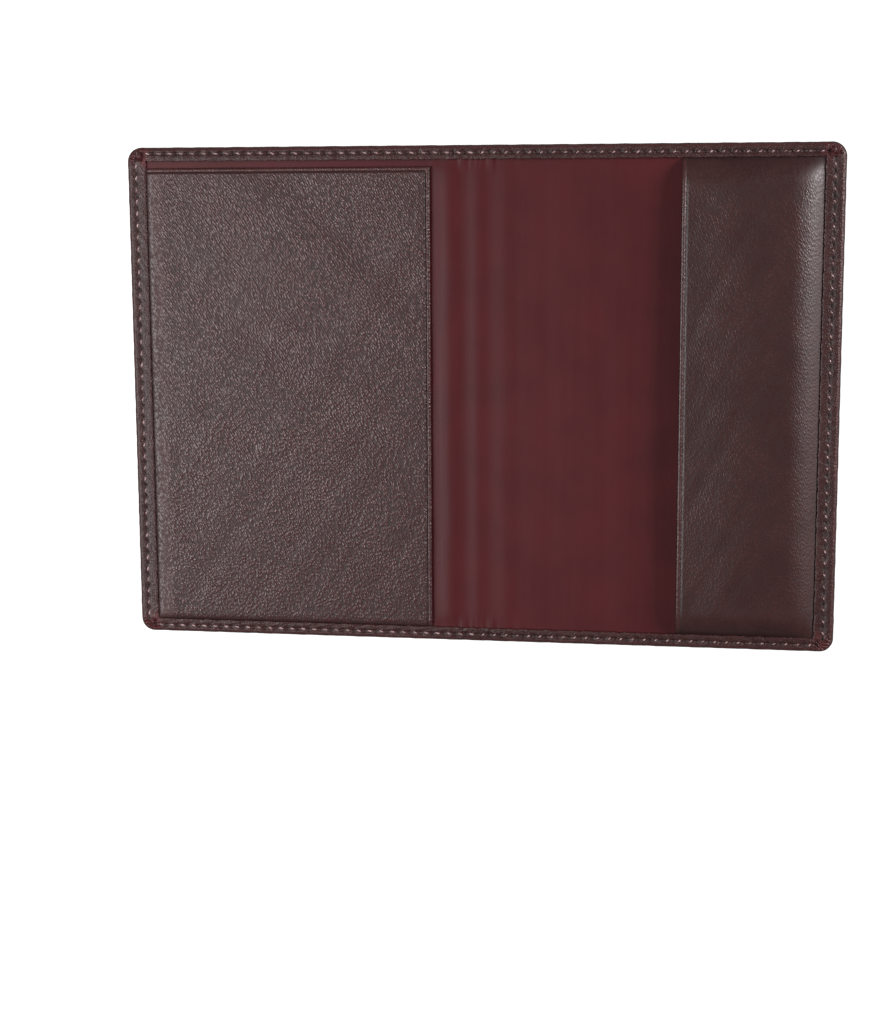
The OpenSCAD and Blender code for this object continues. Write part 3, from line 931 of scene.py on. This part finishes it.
# the same leather as the sleeve; its lighter tones are painted light, the sheen that falls on this
# panel
POCKET_LEATHER = leather("pocket_leather", rgb(80, 45, 45), rgb(64, 31, 31), rgb(36, 8, 9),
                         rows=0.6, run=1.6, turn=-33, relief=0.13, order=0.24, depth=1.0,
                         rough=(0.27, 0.6))
SLEEVE_LEATHER = leather("sleeve_leather", rgb(66, 36, 35), rgb(54, 27, 27), rgb(38, 11, 12),
                         rows=0.6, run=1.5, turn=-20, relief=0.055, order=0.2, depth=0.7,
                         rough=(0.34, 0.47))
LINING_FILM = lining_leather("lining_leather")
# the first colour is the thread's painted highlight, the second its own colour
SEAM_THREAD = thread("seam_thread", rgb(206, 172, 170), rgb(66, 32, 34))
STIFF_BOARD = board_paper("stiffener_board")


# ---------- stitches ----------

def stitch_tree():
    """Geometry Nodes that lay one stitch on each edge of a line, from needle hole to needle
    hole: an arched, slightly slanting length of thread that dives at both ends."""
    tree = bpy.data.node_groups.new("Lay stitches", "GeometryNodeTree")
    for title, kind in (("Geometry", "Geometry"), ("Thread Width", "Float"), ("Arch", "Float"),
                        ("Length Share", "Float"), ("Slant", "Float"), ("Unevenness", "Float"),
                        ("Seed", "Int"), ("Material", "Material")):
        tree.interface.new_socket(title, in_out="INPUT", socket_type="NodeSocket" + kind)
    tree.interface.new_socket("Geometry", in_out="OUTPUT", socket_type="NodeSocketGeometry")
    given, out = tree.nodes.new("NodeGroupInput").outputs, tree.nodes.new("NodeGroupOutput")
    link = tree.links.new

    def new(kind, **settings):
        made = tree.nodes.new(kind)
        for key, value in settings.items():
            setattr(made, key, value)
        return made

    def stored(name, curve, value):
        """Keeps a value on the points of a curve, for the thread's material."""
        made = new("GeometryNodeStoreNamedAttribute", data_type="FLOAT", domain="POINT")
        made.inputs["Name"].default_value = name
        link(curve, made.inputs["Geometry"])
        link(value, made.inputs["Value"])
        return made.outputs["Geometry"]

    # each edge's direction and length, kept on the point that stands for the edge
    ends = new("GeometryNodeInputMeshEdgeVertices").outputs
    keep = new("GeometryNodeCaptureAttribute", domain="EDGE")
    keep.capture_items.new("VECTOR", "Run")
    link(given["Geometry"], keep.inputs["Geometry"])
    link(vector_maths(tree, "SUBTRACT", ends["Position 2"], ends["Position 1"]),
         keep.inputs["Run"])
    run = keep.outputs["Run"]
    spots = new("GeometryNodeMeshToPoints", mode="EDGES")
    link(keep.outputs["Geometry"], spots.inputs["Mesh"])

    # one stitch, of length 1 along X
    arc = new("GeometryNodeCurveQuadraticBezier")
    arc.inputs["Resolution"].default_value = 7
    for end, x, lift in (("Start", -0.5, -1.0), ("Middle", 0.0, 1.15), ("End", 0.5, -1.0)):
        link(vector_of(tree, x, 0.0, times(tree, given["Arch"], lift)), arc.inputs[end])
    rail_at = new("GeometryNodeSplineParameter").outputs["Factor"]
    rail = stored("along", arc.outputs["Curve"], rail_at)
    # the thread thins towards its holes
    middle = maths(tree, "SUBTRACT", rail_at, 0.5)
    thinner = times(tree, times(tree, middle, middle), 1.9)
    taper = new("GeometryNodeSetCurveRadius")
    link(rail, taper.inputs["Curve"])
    link(maths(tree, "SUBTRACT", 1.0, thinner), taper.inputs["Radius"])
    ring = new("GeometryNodeCurvePrimitiveCircle", mode="RADIUS")
    ring.inputs["Resolution"].default_value = 8
    link(times(tree, given["Thread Width"], 0.5), ring.inputs["Radius"])
    round_at = new("GeometryNodeSplineParameter").outputs["Factor"]
    body = new("GeometryNodeCurveToMesh")
    body.inputs["Fill Caps"].default_value = True
    link(taper.outputs["Curve"], body.inputs["Curve"])
    link(stored("around", ring.outputs["Curve"], round_at), body.inputs["Profile Curve"])
    if "Scale" in body.inputs:
        link(new("GeometryNodeInputRadius").outputs[0], body.inputs["Scale"])

    # turned along its edge, with a little slant and unevenness
    aligned = new("FunctionNodeAlignRotationToVector", axis="X", pivot_axis="Z")
    link(run, aligned.inputs["Vector"])
    uneven = new("FunctionNodeRandomValue", data_type="FLOAT")
    link(times(tree, given["Unevenness"], -1.0), uneven.inputs[2])
    link(given["Unevenness"], uneven.inputs[3])
    link(given["Seed"], uneven.inputs["Seed"])
    lean = maths(tree, "ADD", given["Slant"], uneven.outputs[1])
    as_turn = new("FunctionNodeEulerToRotation")
    link(vector_of(tree, 0.0, 0.0, lean), as_turn.inputs[0])
    turned = new("FunctionNodeRotateRotation", rotation_space="LOCAL")
    link(aligned.outputs[0], turned.inputs[0])
    link(as_turn.outputs[0], turned.inputs[1])
    long = new("ShaderNodeVectorMath", operation="LENGTH")
    link(run, long.inputs[0])
    fuller = new("FunctionNodeRandomValue", data_type="FLOAT")
    fuller.inputs[2].default_value, fuller.inputs[3].default_value = 0.93, 1.07
    link(given["Seed"], fuller.inputs["Seed"])
    fullness = fuller.outputs[1]
    length = times(tree, times(tree, long.outputs["Value"], given["Length Share"]), fullness)
    laid = new("GeometryNodeInstanceOnPoints")
    link(spots.outputs["Points"], laid.inputs["Points"])
    link(body.outputs["Mesh"], laid.inputs["Instance"])
    link(turned.outputs[0], laid.inputs["Rotation"])
    link(vector_of(tree, length, fullness, fullness), laid.inputs["Scale"])
    real = new("GeometryNodeRealizeInstances")
    link(laid.outputs["Instances"], real.inputs["Geometry"])
    smooth = new("GeometryNodeSetShadeSmooth")
    link(real.outputs["Geometry"], smooth.inputs["Geometry"])
    dressed = new("GeometryNodeSetMaterial")
    link(smooth.outputs["Geometry"], dressed.inputs["Geometry"])
    link(given["Material"], dressed.inputs["Material"])
    link(dressed.outputs["Geometry"], out.inputs["Geometry"])
    return tree


STITCHES = stitch_tree()


def lay_stitches(name, half, z, up, seed, width, arch, share, slant, unevenness):
    """The stitches of half a cover, at height z, as one plain mesh. up is 1 inside, -1
    outside."""
    points = np.column_stack([HOLES[half], np.full(len(HOLES[half]), z)]) * MM
    if half == "front":
        points[:, 0] *= -1
    data = bpy.data.meshes.new(name + "_line")
    data.from_pydata(points.tolist(), [(i, i + 1) for i in range(len(points) - 1)], [])
    line = add_object(name + "_line", data)
    modifier = line.modifiers.new("stitches", "NODES")
    modifier.node_group = STITCHES
    values = {"Thread Width": width * MM, "Arch": arch * up * MM, "Length Share": share,
              "Slant": math.radians(slant), "Unevenness": unevenness, "Seed": seed,
              "Material": SEAM_THREAD}
    for item in STITCHES.interface.items_tree:
        if item.item_type == "SOCKET" and item.in_out == "INPUT" and item.name in values:
            modifier[item.identifier] = values[item.name]
    line.update_tag()
    graph = bpy.context.evaluated_depsgraph_get()
    mesh = bpy.data.meshes.new_from_object(line.evaluated_get(graph))
    bpy.data.objects.remove(line)
    bpy.data.meshes.remove(data)
    mesh.name = name
    keep_place(mesh)
    return add_object(name, mesh)


# ---------- camera, floor and lights ----------

# The floor's own light and the room's, as the camera sees them, and the room's light on things
FLOOR_GLOW, ROOM_SEEN, ROOM_LIGHT = 0.92, 0.9, 0.12
FLOOR_REACH, FLOOR_DROP = 9.0, 0.12 * MM


def make_camera():
    data = bpy.data.cameras.new("camera")
    data.lens, data.sensor_width = 67.8, 36.0
    data.clip_start, data.clip_end = 0.01, 20
    camera = add_object("camera", data)
    # above the head side of the back cover, leaning back to the middle
    stand = Vector((76.4, 57.8, 532.5 + EDGE_Z / 2)) * MM
    roll, tilt_x, tilt_y = (math.radians(a) for a in (-0.30, -9.52, 9.25))
    camera.matrix_world = (Matrix.Translation(stand) @ Matrix.Rotation(roll, 4, "Z")
                           @ Matrix.Rotation(tilt_y, 4, "Y") @ Matrix.Rotation(tilt_x, 4, "X"))
    bpy.context.scene.camera = camera


def area_light(name, place, size, power):
    """A white area light at place, turned to the middle of the object."""
    data = bpy.data.lights.new(name, "AREA")
    data.shape, data.size, data.size_y = "RECTANGLE", *size
    data.energy = power
    light = add_object(name, data)
    light.location = place
    light.rotation_euler = (-Vector(place)).to_track_quat("-Z", "Y").to_euler()


def make_floor():
    data = bpy.data.meshes.new("floor")
    corners = [(x * FLOOR_REACH, y * FLOOR_REACH, 0) for x, y in ((-1, -1), (1, -1), (1, 1), (-1, 1))]
    data.from_pydata(corners, [], [(0, 1, 2, 3)])
    floor = add_object("floor", data)
    floor.location.z = -FLOOR_DROP
    material, tree, shader = new_material(
        "floor_paper", base_color=(0.32, 0.32, 0.32, 1), roughness=0.9, specular_ior_level=0.1,
        emission_color=(1, 1, 1, 1))
    path = tree.nodes.new("ShaderNodeLightPath").outputs
    feed(tree, shader, emission_strength=times(tree, path["Is Camera Ray"], FLOOR_GLOW))
    # from below the floor is clear, and it lets the light from below through
    one_sided = tree.nodes.new("ShaderNodeMixShader")
    clear = tree.nodes.new("ShaderNodeBsdfTransparent")
    behind = tree.nodes.new("ShaderNodeNewGeometry").outputs["Backfacing"]
    passing = maths(tree, "MAXIMUM", behind, path["Is Shadow Ray"])
    tree.links.new(passing, one_sided.inputs[0])
    tree.links.new(shader.outputs[0], one_sided.inputs[1])
    tree.links.new(clear.outputs[0], one_sided.inputs[2])
    tree.links.new(one_sided.outputs[0], tree.nodes["Material Output"].inputs["Surface"])
    data.materials.append(material)


def make_studio():
    world = bpy.data.worlds.new("studio")
    world.use_nodes = True
    tree = world.node_tree
    sky = tree.nodes["Background"]
    sky.inputs["Color"].default_value = (1, 1, 1, 1)
    # a dim room that looks white behind the object
    seen = tree.nodes.new("ShaderNodeLightPath").outputs["Is Camera Ray"]
    tree.links.new(maths(tree, "MULTIPLY_ADD", seen, ROOM_SEEN, ROOM_LIGHT), sky.inputs["Strength"])
    bpy.context.scene.world = world
    area_light("light_right", place=(1.1, 0.36, 0.5), size=(0.35, 0.5), power=17)
    area_light("light_left", place=(-0.6, -0.1, 0.72), size=(0.4, 0.6), power=7.4)
    area_light("light_below", place=(-0.5, 0.3, -0.9), size=(0.6, 0.6), power=9)
    bpy.context.scene.view_settings.view_transform = "Standard"


make_camera()
make_floor()
make_studio()


# ---------- pieces ----------

def bend(piece):
    """Bakes the piece's transform into its points; the piece is not bent at the fold line."""
    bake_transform(piece)


for front in (False, True):
    half = "front" if front else "back"
    outer = shell(f"outer_leather_{half}", half, COVER_LEATHER)
    bend(outer)
    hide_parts(f"outer_{half}", f"turned_edge_{half}", "outer_spine",
                "turned_edge_spine")
    inside = lining(f"lining_leather_{half}", front, LINING_FILM)
    bend(inside)
    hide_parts(f"lining_{half}", "lining_spine")
    needle = lay_stitches(f"outside_stitches_{half}", half, z=0.2, up=-1, seed=3 + front,
                          width=0.55, arch=0.13, share=0.84, slant=5, unevenness=0.03)
    bobbin = lay_stitches(f"inside_stitches_{half}", half, z=EDGE_Z - 0.2, up=1,
                          seed=11 + front, width=0.46 if front else 0.4, arch=0.2,
                          share=0.6 if front else 0.44, slant=-16 if front else 34,
                          unevenness=0.2)
    for piece, node_name in ((needle, "needle_thread"), (bobbin, "bobbin_thread")):
        bend(piece)
        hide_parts(f"{node_name}_{half}", f"{node_name}_spine")

sleeve = passport_sleeve("sleeve_leather", SLEEVE_LEATHER)
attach(sleeve, "back_cover")
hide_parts("passport_sleeve")

pocket = ticket_pocket("pocket_leather", POCKET_LEATHER)
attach(pocket, "front_cover")
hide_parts("ticket_pocket")

for name in ("board_back", "spine_stay", "board_front"):
    stiffener = frame["nodes"][name]
    stiffener.data.materials.clear()
    stiffener.data.materials.append(STIFF_BOARD)
